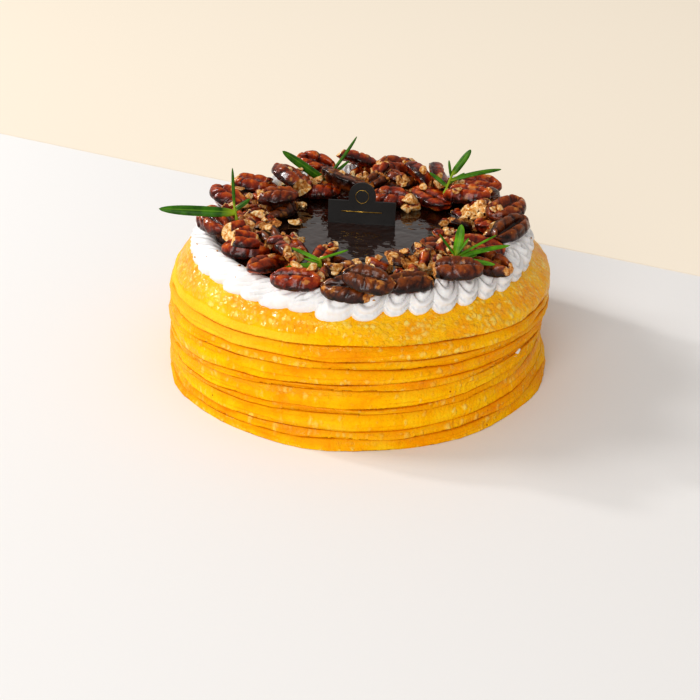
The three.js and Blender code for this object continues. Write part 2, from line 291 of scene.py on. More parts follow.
def splinePoints(knots, count):
    # the curve through the knots, sampled evenly from knot to knot
    found = []
    for i in range(count + 1):
        t = i / count * (len(knots) - 1)
        k = min(int(t), len(knots) - 1)
        w = t - k
        nearby = (knots[clamp(k + step, 0, len(knots) - 1)] for step in (-1, 0, 1, 2))
        found.append(tuple(
            b + 0.5 * w * ((c - a) + w * (2 * a - 5 * b + 4 * c - d + w * (3 * (b - c) + d - a)))
            for a, b, c, d in zip(*nearby)
        ))
    return found


outline = splinePoints(stack["outline"], 100)
outlineHeights = [height for _, height in outline]


def outlineIndex(height):
    i = clamp(bisect_left(outlineHeights, height), 1, len(outline) - 1)
    low, high = outlineHeights[i - 1], outlineHeights[i]
    return min(len(outline) - 1, i - 1 + (height - low) / (high - low))


def wallPoint(index, angle):
    # radius and height of the wall at a place along the outline
    i = min(int(index), len(outline) - 2)
    radius, height = (lerp(a, b, index - i) for a, b in zip(outline[i], outline[i + 1]))
    right = max(0, cos(angle)) ** 2
    bump = lambda at, reach, depth: depth * exp(-(((height - at) / reach) ** 2))
    return radius + right * (bump(*stack["swell"]) - bump(*stack["waist"])), height


def wavesOf(k):
    # the waves in the hem of crepe k: cycles round the stack, phase and size
    draws = hashed(1201 + 77 * k)
    return [(cycles, next(draws) * turn, next(draws)) for cycles in (3, 5, 8)]


hemWaves = [wavesOf(k) for k in range(len(hems))]


def hemWave(k, angle):
    return sum(size * cos(cycles * angle + phase) for cycles, phase, size in hemWaves[k])


def drumNoise(angle, size, height):
    # noise in lumps of size millimetres that closes on itself round the stack
    x, y = polar(stack["drum"], angle)
    return noiseAt(x / size, y / size, height)


@cache
def hemHeight(k, angle):
    if k == 0:
        return 0
    if k > topCrepe:
        return stack["topHeight"]
    x, y = cos(angle), sin(angle)
    front, right, back, left = hems[k]
    level = x * x * (right if x > 0 else left) + y * y * (back if y > 0 else front)
    return level + 0.35 * hemWave(k, angle) + 0.5 * drumNoise(angle, 17, 3.7 * k)


@cache
def hemLip(k, angle):
    lip = 0.55 + 0.2 * hemWave(k, angle) + 0.9 * drumNoise(angle, 31, 50 + k)
    return max(0.12, lip)


@cache
def hemSpan(k, angle):
    # where crepe k's wall begins and ends along the outline
    end = len(outline) - 1 if k == topCrepe else outlineIndex(hemHeight(k + 1, angle))
    return outlineIndex(hemHeight(k, angle)), end


@cache
def pleatEdges(k, angle):
    # thin loose edges of single crepes between two hems: place along the wall and presence
    edges = []
    for i in range(stack["pleats"][k]):
        place = (i + 1) / (stack["pleats"][k] + 1)
        wander = 0.22 * drumNoise(angle, 46, 11 * k + 5 * i)
        present = smooth(-0.12, 0.12, drumNoise(angle, 60, 31 + 7 * k + 3 * i))
        edges.append((place + wander, present))
    return edges


def drapeRows(k):
    # how many rows the wall part of crepe k gets
    gaps = [hemHeight(k + 1, turn * i / 24) - hemHeight(k, turn * i / 24) for i in range(24)]
    height = stack["topRows"] if k == topCrepe else max(gaps)
    return round(height / stack["rowPitch"]) + 6


def pleatStep(k, angle, t):
    # every loose edge stands proud of what is below it
    return sum(
        0.5 * present * smooth(-0.012, 0.012, t - place) * exp(-5 * max(0, t - place))
        for place, present in pleatEdges(k, angle)
    )


def pleatShade(k, angle, t):
    # painted shade along the line just under a loose edge
    return max([0] + [
        0.5 * present * (1 - abs(t - place + 0.02) / 0.04)
        for place, present in pleatEdges(k, angle)
    ])


def blisterShare(k, angle, t):
    # how thickly the blister marks lie: all over the shoulder, elsewhere in zones
    if k == topCrepe:
        reach = 0.2 + 0.04 * drumNoise(angle, 20, 4)
        smoothBand = smooth(reach, reach - 0.05, t) * smooth(0.2, -0.4, cos(angle))
        return 1 - 0.85 * smoothBand
    zone = drumNoise(angle, 55, 13.7 * k + 2 * t)
    share = 0.35 + 0.5 * smooth(-0.1, 0.3, zone)
    if k == topCrepe - 1:
        share = lerp(share, 0.15, smooth(-0.2, -0.6, cos(angle)))
    return share


def makeCrepe(k):
    top = k == topCrepe
    wall = drapeRows(k)
    edge = ((-5, 0), (-0.8, 0), (-0.1, 0.12), (0.04, 0.5))  # rows of the hem: inset and rise
    under = len(edge)
    rows = wall + under + 2
    gap = stack["gap"]
    bed = stack["beds"][k] + (gap if k else 0)
    lid = stack["beds"][k + 1] - (0 if top else gap)

    def place(row, angle):
        marks = {"hemShade": 0.0, "blisters": 0.0, "drape": (0.0, 0.0, 0.0)}
        if angle is None:
            return leaning(0, 0, lid if row else max(bed, gap)), marks
        if row in (0, rows - 1):
            radius, height = stack["bedRadius"], lid if row else bed
        else:
            start, end = hemSpan(k, angle)
            lip = hemLip(k, angle)
            t = max(0, row - under) / wall
            radius, height = wallPoint(lerp(start, end, t), angle)
            shade = 0.0
            if row <= under:
                inset, rise = edge[row - 1]
                radius += (lip if row > 1 else 0) + inset
                height += rise + (gap if k else 0)
            else:
                shade = pleatShade(k, angle, t)
                s = height - hemHeight(k, angle)
                radius += 1.25 * lip * exp(-s / 4.5)
                radius += pleatStep(k, angle, t)
                for deep, wide, tall, step in stack["waves"]:
                    radius += deep * drumNoise(angle, wide, height / tall + step * k)
                fold = drumNoise(angle, 12, height / 6 + 3 * k)
                radius += 0.35 * (1 - 2 * abs(fold)) ** 2
                if top:
                    radius -= 0.4 * smooth(0.6, 1, t)
                    height += 0.22 * drumNoise(angle, 6, s / 7)
                    height = lerp(height, stack["topHeight"], smooth(0.93, 1, t))
                else:
                    # tucked in under the next hem, with painted shade there
                    left = hemHeight(k + 1, angle) - height
                    depth = 1.1 + 1.6 * drumNoise(angle, 28, 80 + k)
                    tuck = smooth(0, 1, 1 - left / 0.6)
                    radius -= max(0.3, depth) * tuck * tuck
                    height = min(height, hemHeight(k + 1, angle) - gap)
                    shade = max(shade, clamp(1 - left / 1.4) ** 2, 0.45 * clamp(1 - left / 5))
            fall = lerp(start, end, t) * mm * 0.9 + 0.3 * k
            marks = {
                "hemShade": shade, "blisters": blisterShare(k, angle, t),
                "drape": (*polar(stack["drum"] * mm, angle), fall),
            }
        return leaning(*polar(radius, angle), height), marks

    piece = tube(stack["around"], rows)
    shapeTube(piece, place)
    number = f"{k + 1:02d}"
    return finishPiece(piece, "crepeDrape_" + number, crepeMaterial, "crepe_" + number)


def makeCrepeMaterial():
    # pan-fried egg crepe: moist and golden, with pale blister marks and browner patches
    material, add, shader = newMaterial(
        "panFriedEggCrepe", Subsurface_Weight=0.12, Subsurface_Radius=(0.002, 0.0007, 0.0001),
        Subsurface_Scale=1, Coat_Roughness=0.06, IOR=1.4, Specular_IOR_Level=0.1,
    )
    drape = add("Attribute", attribute_name="drape").outputs["Vector"]
    hem, blistered = (
        add("Attribute", attribute_name=name).outputs["Fac"] for name in ("hemShade", "blisters")
    )
    patches = add("TexNoise", {"Vector": drape, "Scale": 1 / 0.026, "Detail": 5, "Roughness": 0.62})
    golden = add("ValToRGB", {"Fac": patches}, stops=[(0.30, "f29600"), (0.43, "fdac00"),
        (0.55, "ffbd00"), (0.70, "ffcc20")])
    # blisters two to three millimetres across, drawn out down the wall
    warp = add("TexNoise", {"Vector": drape, "Scale": 1 / 0.0028, "Detail": 3})
    moved = add("VectorMath", {0: warp.outputs["Color"], 1: (0.0034, 0.0034, 0.0034), 2: drape},
        operation="MULTIPLY_ADD")
    stretched = add("Mapping", {"Vector": moved, "Scale": (1, 1, 0.68)})
    cells = add("TexVoronoi", {"Vector": stretched, "Scale": 1 / 0.0028})
    draw = add("SeparateColor", {"Color": cells.outputs["Color"]})
    share = add("Math", {0: blistered, 1: 0.5, 2: -0.32}, operation="MULTIPLY_ADD")
    reach = add("Math", {0: draw, 1: 0.55, 2: share}, operation="MULTIPLY_ADD")
    inside = add("Math", {0: reach, 1: cells}, operation="SUBTRACT")
    spots = add("MapRange", {"Value": inside, "From Min": -0.1, "From Max": 0.4})
    pale = add("Math", {0: spots, 1: draw.outputs[1]}, operation="MULTIPLY")
    spotted = add("Mix", {0: pale, 6: golden, 7: "ffdf74"})
    # browner pores between them
    drawn = add("Mapping", {"Vector": drape, "Scale": (1, 1, 0.45)})
    pores = add("TexNoise", {"Vector": drape, "Scale": 1 / 0.0016, "Detail": 3})
    browned = add("MapRange", {"Value": pores, "From Min": 0.42, "From Max": 0.30, "To Max": 0.35})
    porous = add("Mix", {0: browned, 6: spotted, 7: "e08c00"})
    # freckles under a millimetre
    freckles = add("TexVoronoi", {"Vector": drape, "Scale": 1 / 0.0062})
    tiny = add("MapRange", {"Value": freckles, "From Min": 0.09, "From Max": 0.05})
    rare = add("SeparateColor", {"Color": freckles.outputs["Color"]})
    few = add("Math", {0: rare.outputs[1], 1: 0.9}, operation="GREATER_THAN")
    dots = add("Math", {0: tiny, 1: few}, operation="MULTIPLY")
    freckled = add("Mix", {0: dots, 6: porous, 7: "a85a0a"})
    matte = add("MapRange", {"Value": blistered, "From Min": 0.32, "From Max": 0.15, "To Max": 0.6})
    banded = add("Mix", {0: matte, 6: freckled, 7: "ffcb3a"})
    # painted shade: the hem mark darkens the crepe in the tucks under each hem and loose edge
    shaded = add("Mix", {0: hem, 6: banded, 7: "dd8200"})
    height = add("Math", {0: spots, 1: 0.9, 2: pores}, operation="MULTIPLY_ADD")
    bump = add("Bump", {"Height": height, "Strength": 0.6, "Distance": 0.0011})
    dimples = add("TexNoise", {"Vector": drawn, "Scale": 1 / 0.0026, "Detail": 0.6})
    wet = add("Bump", {"Height": dimples, "Strength": 1, "Distance": 0.0013})
    rough = add("MapRange", {"Value": blistered, "To Min": 0.5, "To Max": 0.36})
    moist = add("MapRange", {"Value": blistered, "From Min": 0.72, "To Max": 0.4})
    connect(shader, {"Base Color": shaded, "Normal": bump, "Coat Normal": wet, "Roughness": rough,
                     "Coat Weight": moist})
    return material


crepeMaterial = makeCrepeMaterial()
for k in range(len(hems)):
    makeCrepe(k)
print("crepes draped")


# ---- piped cream
ring = {
    "radius": 81, "height": 65, "shells": 42, "around": 252, "cuts": 5, "rows": 60, "underRows": 9,
    "startRow": 4, "sectionSteps": 200,
    # the section from the glaze's side over the top to the outer foot
    "section": [
        (-8.4, 0.4), (-7.2, 3), (-4, 4.8), (-0.4, 5.2), (3.4, 3.4), (6.4, 0), (9.2, -8.6),
    ],
    "inset": (3, 5.2), "dome": (4.6, 6.6), "ridgePitch": 2.6, "ridgeDepth": 2.4, "lean": 0.24,
    "centre": (-0.6, 10.4),  # of a shell's swirl: along the ring, and down the section
    "reach": (7.2, 9, 14.4),  # of a shell: sideways, up and down
}


def shellHeight(p, q, dome, left, grow):
    # how far a piped shell stands out, p mm along the ring and q mm down the section
    swirlX, swirlY = ring["centre"]
    wide, high, low = ring["reach"]
    wide *= 1 + 0.3 * left
    x, y = (p - swirlX) / grow, (q - swirlY) / grow
    x += (ring["lean"] + 0.6 * left) * y  # dragged along on the left
    reach = (abs(x / wide) ** 2.6 + abs(y / (low if y > 0 else high)) ** 2.6) ** (1 / 2.6)
    if reach >= 1:
        return 0
    body = dome * (1 - 0.3 * left) * (1 - reach ** 2.6) ** 0.5
    # one ridge curls in at the upper end, the next ones open up towards the neighbour
    swirl = hypot(x + 0.8, 0.62 * (y + 1)) / ring["ridgePitch"] + 0.8 * atan2(-x, y) / turn
    drawn = (0.8 * x + 0.35 * y + 0.05 * y * y) / (1.9 * ring["ridgePitch"])
    sweep = 0.5 + 0.5 * cos(turn * drawn)
    sweep = lerp(0.7, sweep, clamp(0.55 + noiseAt(x / 9, y / 7, 11 * grow)))
    ridge = lerp(abs(sin(pi * (swirl + 0.15))), sweep, left)
    edge = smooth(1, 0.8, reach)
    return body + ring["ridgeDepth"] * (1 - 0.1 * left) * (ridge - 0.7) * edge


def makeCream():
    draws = random.Random(31)
    shells = [
        (draws.uniform(-0.5, 0.5), draws.uniform(-0.7, 0.7), draws.uniform(0.92, 1.1))
        for _ in range(ring["shells"])
    ]
    section = splinePoints(ring["section"], ring["sectionSteps"])
    lengths = [0]
    for a, b in zip(section, section[1:]):
        lengths.append(lengths[-1] + dist(a, b))
    topRows = ring["rows"] - ring["underRows"]
    steps = len(section) - 1
    pitch = turn * ring["radius"] / ring["shells"]
    piece = primitive(
        "torus", major_segments=ring["around"], minor_segments=ring["rows"], major_radius=1,
        minor_radius=0.25,
    )
    # the edges that run along the ring
    splitEdges(piece, ring["cuts"], lambda a, b: abs(a.x * b.y - a.y * b.x) > 1e-4)
    for vertex in piece.data.vertices:
        x, y, z = vertex.co
        angle = atan2(y, x) % turn
        row = round(atan2(-z, 1 - hypot(x, y)) / turn * ring["rows"]) + ring["startRow"]
        row %= ring["rows"]
        if row < topRows:
            t = row / (topRows - 1)
            i = min(int(t * steps), steps - 1)
            out, up = section[i]
            wayOut, wayUp = (b - a for a, b in zip(section[i], section[i + 1]))
            size = hypot(wayOut, wayUp)
            normal = (-wayUp / size, wayOut / size)
            left = smooth(0.1, -0.55, cos(angle))
            outer = smooth(0.45, 0.9, t)
            inset, dome = lerp(*ring["inset"], outer), lerp(*ring["dome"], outer)
            stand = 0
            nearest = round(angle / turn * ring["shells"])
            for k in (nearest - 1, nearest, nearest + 1):
                dx, dy, grow = shells[k % ring["shells"]]
                along = angle / turn * ring["shells"] * pitch - k * pitch - dx
                height = shellHeight(along, lengths[i] - dy, dome, left, grow)
                stand = max(stand, height - 0.07 * along)
            stand -= inset * smooth(0, 0.2, t)
            spot = Vector((*polar(ring["radius"], angle), 9 * t))
            stand += 0.16 * noise.noise(spot / 1.6)
            radius = ring["radius"] + out + normal[0] * stand
            height = ring["height"] + up + normal[1] * stand
        else:
            # the underside, back to the inner foot
            t = (row - topRows + 1) / (ring["underRows"] + 1)
            first, last = section[-1], section[0]
            radius = ring["radius"] + lerp(first[0] - 6, last[0] + 1.5, t)
            height = ring["height"] + lerp(first[1] - 2, last[1] - 1.2, t ** 0.6)
        vertex.co = Vector(leaning(*polar(radius, angle), height)) * mm
    editAll()
    bpy.ops.mesh.normals_make_consistent(inside=False)
    editDone()
    return finishPiece(piece, "creamPiping", creamMaterial, "cream_border")


# whipped cream: soft and white, a little light goes in
creamMaterial = mottledMaterial(
    "whippedCream", 0.011, ("e9e6e4", "f4f2f0"), (0.0012, 3, 0.2, 0.0002), Subsurface_Scale=1,
    Subsurface_Weight=0.1, Subsurface_Radius=(0.0009, 0.0007, 0.0005), Roughness=0.42, IOR=1.4,
)
cream = makeCream()
print("cream piped")


# ---- glaze
pool = {"radius": 73, "foot": 65.3, "top": 67.5, "rows": 90, "sides": 180}


def makeGlaze():
    piece = tube(pool["sides"], pool["rows"] + 3)

    def place(row, angle):
        if angle is None:
            return leaning(0, 0, pool["foot"] if row == 0 else pool["top"]), {}
        if row == 0:
            radius, height = pool["radius"] - 0.5, pool["foot"]
        elif row == 1:
            radius, height = pool["radius"], pool["top"] - 0.9
        else:
            t = (row - 2) / pool["rows"]
            radius = lerp(pool["radius"] - 0.4, 0.4, t)
            height = pool["top"] - (0.35 if row == 2 else 0)
            spot = Vector((*polar(radius, angle), 0))
            height -= 0.3 * max(0, noise.noise(spot / 5)) + 0.08 * noise.noise(spot / 2)
        return leaning(*polar(radius, angle), height), {}

    shapeTube(piece, place)
    return finishPiece(piece, "chocolateGlaze", glazeMaterial, "glaze")


# dark chocolate mirror glaze: wet gloss over small ripples
glazeMaterial = mottledMaterial(
    "chocolateMirrorGlaze", 0.02, ("1a0a03", "2c1308"), (0.005, 2, 0.35, 0.0006),
    Roughness=0.07, IOR=1.52, Coat_Weight=0.6, Coat_Roughness=0.04,
)
glaze = makeGlaze()
print("glaze poured")


# ---- pecan halves
kernelForm = {
    "halves": 37, "segments": 44, "rings": 52, "creases": (2.6, 4.4), "creaseDepth": 0.19,
    "slant": 0.8, "groove": 1, "folds": 0.07, "lumps": 0.05,
}


def kernelAxes(node):
    # length, width and dome directions of a packed pecan, with its sizes in metres
    seen = {tuple(round(c, 6) for c in v.co) for v in node.data.vertices}
    points = [Vector(p) for p in sorted(seen)]

    def farthest(items):
        return max(
            ((a, b) for i, a in enumerate(items) for b in items[i + 1:]),
            key=lambda pair: (pair[0] - pair[1]).length_squared,
        )

    start, end = farthest(points)
    middle = (start + end) / 2
    along = (end - start).normalized()
    flat = [p - middle - along * (p - middle).dot(along) for p in points]
    left, right = farthest(flat)
    across = (right - left).normalized()
    up = along.cross(across)
    heights = [p.dot(up) for p in flat]
    if -min(heights) > max(heights):
        across, up = -across, -up
    thick = (max(heights) - min(heights)) / 0.95
    return middle, along, across, up, (end - start).length, (right - left).length, thick


def kernelPoint(p, form, seed):
    # a point of the unit ball to a place on the kernel, in shares of its half sizes
    u = clamp(p.x, -0.999, 0.999)
    girth = sqrt(1 - u * u)
    y, s = p.y / girth, p.z / girth
    size = (1 - abs(u) ** 2.4) ** 0.55
    rise = abs(s) ** 0.6
    side = abs(y)
    lobe = 1 if y > 0 else 2
    # creases across each lobe, unevenly spaced and deep
    q = form["count"] * (u * 0.5 + 0.5) + form["phase"] * lobe + form["slant"] * (side - 0.5)
    q += 0.7 * noiseAt(1.7 * u, 0.8 * y, seed + 5 * lobe)
    strength = 0.45 + 0.9 * abs(noiseAt(round(q) * 1.7, lobe * 3.1, seed))
    crease = (1 - abs(sin(pi * q))) ** 3 * strength
    # two round lobes with a cleft between them that closes at the ends
    cleft = form["groove"] * smooth(1.0, 0.55, abs(u + form["skew"]))
    lobes = sqrt(max(0, 1 - ((side - 0.55) / 0.47) ** 2))
    plain = sqrt(max(0, 1 - (side / 1.06) ** 2))
    fold = noiseAt(3 * u, 6.2 * y, seed + 9)
    wrinkle = kernelForm["folds"] * (1 - 2 * abs(fold)) ** 3
    lump = noiseAt(2.6 * p.x, 2.6 * p.y, 2.6 * p.z + seed)
    if s >= 0:
        share = 0.3 + 0.72 * rise * lerp(plain * 0.92, lobes, cleft)
        share -= rise * (kernelForm["creaseDepth"] * crease + wrinkle)
    else:
        keel = exp(-((y / 0.2) ** 2))
        share = 0.3 - 0.32 * rise * (1 - 0.75 * keel)
        share += rise * (0.6 * kernelForm["creaseDepth"] * crease + wrinkle)
    share += kernelForm["lumps"] * lump
    share = lerp(0.4, share, 0.3 + 0.7 * size)
    width = y * size * (1 + 0.1 * lump - 0.12 * crease * side)
    # the ridge mark: high on the lobes, low in the creases and at the sides; the material paints it
    # as highlight and shade
    ridge = clamp((1 - crease) * lerp(1, lobes, cleft) * rise * (1 - 2 * wrinkle))
    return Vector((u, width, share - 0.4)), ridge


def drawnForm(draws, **fixed):
    return {
        "count": draws.uniform(*kernelForm["creases"]), "phase": draws.uniform(0.2, 0.8),
        "slant": draws.uniform(-1, 1) * kernelForm["slant"], "skew": draws.uniform(-0.2, 0.2),
        "groove": kernelForm["groove"] * draws.uniform(0.7, 1), "tone": draws.random(),
        "breaks": draws.choice([0, 0, 1, 1, 2]), "bow": draws.uniform(0, 0.05), "flesh": 0.0,
        **fixed,
    }


def shapeKernel(ball, form, seed, axes, cuts):
    # cuts are planes that break a part off: a direction and its reach in shares of the half sizes
    middle, along, across, up, length, width, thick = axes
    piece = copyOf(ball)
    ridges, fleshes = [], []
    half = Vector((length / 2, width / 2, thick))
    for vertex in piece.data.vertices:
        share, ridge = kernelPoint(vertex.co, form, seed)
        point = Vector(a * b for a, b in zip(share, half))
        point.z -= form["bow"] * length * (share.x ** 2 - 0.3)
        flesh = form["flesh"]
        for lean, reach in cuts:
            limit = reach * (abs(lean.x) * half.x + abs(lean.y) * half.y * 0.5
                             + abs(lean.z) * thick * 0.4)
            over = point.dot(lean) - limit
            if over > -0.0002:
                crumb = 0.0012 * noise.noise(point * 330) + 0.0004 * noise.noise(point * 900)
                point -= lean * (max(0, over) * 0.94 + crumb)
                flesh = 1.0 if over > 0 else flesh
        ridges.append(ridge)
        fleshes.append(flesh)
        vertex.co = middle + along * point.x + across * point.y + up * point.z
    store(piece, ridge=ridges, flesh=fleshes, tone=[form["tone"]] * len(ridges))
    return piece


def makeKernel(number, ball):
    draws = random.Random(900 + number)
    fixed = zip(("tone", "breaks", "flesh", "groove"), specialKernels.get(number, ()))
    form = drawnForm(draws, **dict(fixed))
    cuts = []
    for _ in range(form["breaks"]):
        lean = Vector((draws.choice((-1, 1)), draws.uniform(-0.7, 0.7), draws.uniform(0.1, 0.9)))
        cuts.append((lean.normalized(), draws.uniform(0.62, 0.82)))
    node = f"pecan_{number:02d}"
    piece = shapeKernel(ball, form, number * 3.1, kernelAxes(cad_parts[node]), cuts)
    return finishPiece(piece, f"pecanHalf_{number:02d}", pecanMaterial, node)


def makePecanMaterial():
    # roasted pecan: oily red-brown skin, rubbed to tan on its ridges, with painted highlights along
    # the ridges and painted shade in the creases and at the sides, crumbly pale flesh
    material, add, shader = newMaterial(
        "roastedPecan", IOR=1.4, Coat_Weight=0.4, Coat_Roughness=0.12, Specular_IOR_Level=0.3,
    )
    here = add("TexCoord").outputs["Object"]
    ridge, flesh, tone = (
        add("Attribute", attribute_name=name).outputs["Fac"] for name in ("ridge", "flesh", "tone")
    )
    grain = add("TexNoise", {"Vector": here, "Scale": 1 / 0.0035, "Detail": 5, "Roughness": 0.65})
    # painted highlight and shade: a high ridge mark lightens the skin towards orange, a low one
    # darkens it to near black
    lit = add("Math", {0: ridge, 1: 0.62, 2: -0.27}, operation="MULTIPLY_ADD")
    depth = add("Math", {0: grain, 1: lit}, operation="ADD")
    red = add("ValToRGB", {"Fac": depth}, stops=[(0.18, "120301"), (0.4, "4a1002"),
        (0.64, "902c04"), (0.9, "d26414")])
    brown = add("ValToRGB", {"Fac": depth}, stops=[(0.18, "0c0401"), (0.48, "3e1605"),
        (0.88, "8c460f")])
    darker = add("MapRange", {"Value": tone, "From Min": 0.45, "From Max": 0.75})
    skin = add("Mix", {0: darker, 6: red, 7: brown})
    # skin rubbed off in flecks of one to three millimetres
    rubbed = add("TexNoise", {"Vector": here, "Scale": 1 / 0.006, "Detail": 4})
    flecks = add("MapRange", {"Value": rubbed, "From Min": 0.62, "From Max": 0.68})
    onRidge = add("Math", {0: flecks, 1: ridge}, operation="MULTIPLY")
    worn = add("Mix", {0: onRidge, 6: skin, 7: "d08a3e"})
    crumbs = add("TexNoise", {"Vector": here, "Scale": 1 / 0.0016, "Detail": 4})
    fresh = add("ValToRGB", {"Fac": crumbs}, stops=[(0.32, "c8761e"), (0.46, "ecb05a"),
        (0.62, "ffe9ba")])
    toasted = add("ValToRGB", {"Fac": crumbs}, stops=[(0.32, "7a3608"), (0.48, "c07020"),
        (0.66, "ecb060")])
    pale = add("Mix", {0: tone, 6: fresh, 7: toasted})
    whole = add("Mix", {0: flesh, 6: worn, 7: pale})
    rough = add("MapRange", {"Value": flesh, "To Min": 0.27, "To Max": 0.6})
    wrinkles = add("TexNoise", {"Vector": here, "Scale": 1 / 0.0018, "Detail": 4,
        "Distortion": 0.8})
    relief = add("Math", {0: grain, 1: wrinkles}, operation="ADD")
    bump = add("Bump", {"Height": relief, "Strength": 0.5, "Distance": 0.0006})
    connect(shader, {"Base Color": whole, "Roughness": rough, "Normal": bump})
    return material


pecanMaterial = makePecanMaterial()
specialKernels = {  # by number: tone, breaks, flesh and groove where they aren't drawn
    2: (0.2, 1), 9: (0.3, 2), 11: (0.35, 0, 1.0, 1.0), 15: (0.8, 2), 16: (0.9, 2),
    17: (0.9, 2), 18: (0.7, 2), 19: (0.7, 2), 21: (0.9, 2), 28: (0.3, 2), 30: (0.9,),
    31: (0.85,), 37: (0.3, 2),
}


def makeKernelBall(fineness):
    return primitive(
        "uv_sphere", segments=round(kernelForm["segments"] * fineness),
        ring_count=round(kernelForm["rings"] * fineness), radius=1, rotation=(0, pi / 2, 0),
    )


kernelBall = makeKernelBall(1)
kernels = [makeKernel(i, kernelBall) for i in range(1, kernelForm["halves"] + 1)]
bpy.data.objects.remove(kernelBall)
print("pecans laid")


# ---- chopped nuts
choppedNuts = {
    "count": 90, "centre": -5.5, "nearest": 46, "farthest": 76, "sizes": (1.6, 3.4),
    # clusters as angle, distance, how many, size
    "clusters": [
        (-119, 71, 7, 2.8), (-154, 37, 2, 2.2), (172, 33, 2, 2.6), (46, 36, 3, 4.5),
        (-4, 46, 7, 2.6), (-76, 55, 1, 2.6), (-81, 60, 3, 2.2), (-175, 53, 3, 2.6),
        (-151, 56, 3, 2.6), (137, 42, 4, 2.0), (85, 33, 3, 2.4), (62, 48, 4, 2.6),
        (7, 56, 5, 2.6), (-10, 69, 3, 2.6), (0, 60, 4, 2.4), (-58, 59, 4, 2.6),
        (-28, 45, 6, 2.4), (-101, 50, 3, 2.2),
    ],
    "level": 72, "clusterTop": 90, "looseTop": 82, "cuts": 6,
    # on the rim
    "crumbs": 26, "rim": (76, 89), "rimLevel": 70, "crumbSizes": (0.3, 0.7),
}


def makeNuts(kind, places):
    # broken pieces of kernel: a ball cut flat by a few random planes, skin left on one side
    bits = []
    draws = random.Random(len(places) * 7 + len(kind))
    ball = primitive("ico_sphere", subdivisions=3, radius=1)
    for point, normal, size in places:
        bit = copyOf(ball)
        planes = [
            (Vector([draws.gauss(0, 1) for _ in range(3)]).normalized(), draws.uniform(0.35, 0.8))
            for _ in range(choppedNuts["cuts"])
        ]
        stretch = Vector((draws.uniform(1, 1.5), draws.uniform(0.75, 1), draws.uniform(0.6, 0.8)))
        spin = Matrix.Rotation(draws.uniform(0, turn), 3, "Z")
        spin @= Matrix.Rotation(draws.uniform(-0.9, 0.9), 3, "X")
        seed = draws.uniform(0, 90)
        tone = 0.5 * draws.random()
        skinSide = draws.uniform(-0.2, 1.2)
        fleshes, ridges = [], []
        for vertex in bit.data.vertices:
            p = vertex.co.copy()
            cut = 0
            for way, reach in planes:
                over = p.dot(way) - reach
                if over > 0:
                    p -= way * over * 0.9
                    cut = 1
            p *= 1 + 0.16 * noise.noise(p * 2.1 + Vector((seed, 0, 0)))
            fleshes.append(1.0 if cut or p.z < skinSide - 0.6 else 0.0)
            ridges.append(clamp(0.5 + noise.noise(p * 2)))
            p = spin @ Vector(a * b for a, b in zip(p, stretch))
            vertex.co = point + p * (size * mm) + normal * (0.4 * size * mm)
        store(bit, flesh=fleshes, ridge=ridges, tone=[tone] * len(ridges))
        bits.append(bit)
    bpy.data.objects.remove(ball)
    return finishPiece(joined(bits), kind, pecanMaterial)


def surfaceOf(pieces):
    # one tree over several finished pieces, to drop things on
    points, faces = [], []
    for piece in pieces:
        start = len(points)
        points += [v.co for v in piece.data.vertices]
        faces += [[start + i for i in p.vertices] for p in piece.data.polygons]
    return BVHTree.FromPolygons(points, faces)


# ---- the five sprigs: length, compass and lean of the stem, how young and bright it is, and the
# leaves as compass, elevation, length, width, droop and roll
sprigs = {
    "left": (5, 180, 8, 0, [
        (182, 4, 38, 5.4, 2, -50), (20, 36, 9, 3.2, 1, 20), (100, 72, 19, 1.6, -2, 0),
    ]),
    "back": (7, 20, 10, 0.15, [
        (187, 39, 31, 5, 2, -55), (170, 30, 13, 2.8, 1, -30), (15, 40, 14, 2, 1, 30),
        (24, 47, 25, 2, -3, 30),
    ]),
    "right_back": (9, 10, 20, 0.35, [
        (158, 37, 12, 2.5, 2, -30), (10, 36, 10, 2, 1, 30), (-5, 24, 27, 3.2, 6, 30),
        (120, 72, 9, 1.6, 0, 0), (12, 54, 16, 3.8, 0, 50),
    ]),
    "right_front": (4, 10, 8, 0.9, [
        (5, 18, 11, 2.2, 1, 20), (-28, 12, 20, 3.4, 3, 20), (3, 24, 26, 3.2, 6, 20),
        (14, 28, 22, 1.6, 1, 0), (160, 50, 13, 1.7, 0, 0), (20, 51, 10, 2, 0, 0),
        (64, 68, 14, 4.6, 0, 0),
    ]),
    "front": (4, 180, 5, 1, [
        (-150, 10, 19, 3.8, 2, -30), (180, 14, 8, 2, 0, 0), (165, 24, 15, 2.4, 2, -20),
        (12, 14, 14, 1.8, 0, 0),
    ]),
}


# ---- broken pecan halves, laid clear of the sprigs
brokenKernels = {
    "tries": 1500, "count": 60, "nearest": 50, "farthest": 71, "centre": -4, "level": 72,
    "spacing": 5.8, "highest": 76, "length": (19, 24), "width": (9.5, 13), "thick": (5.5, 7.5),
    "lift": 3.5, "reach": (0.2, 0.5), "clear": 5,  # of the sprigs
}


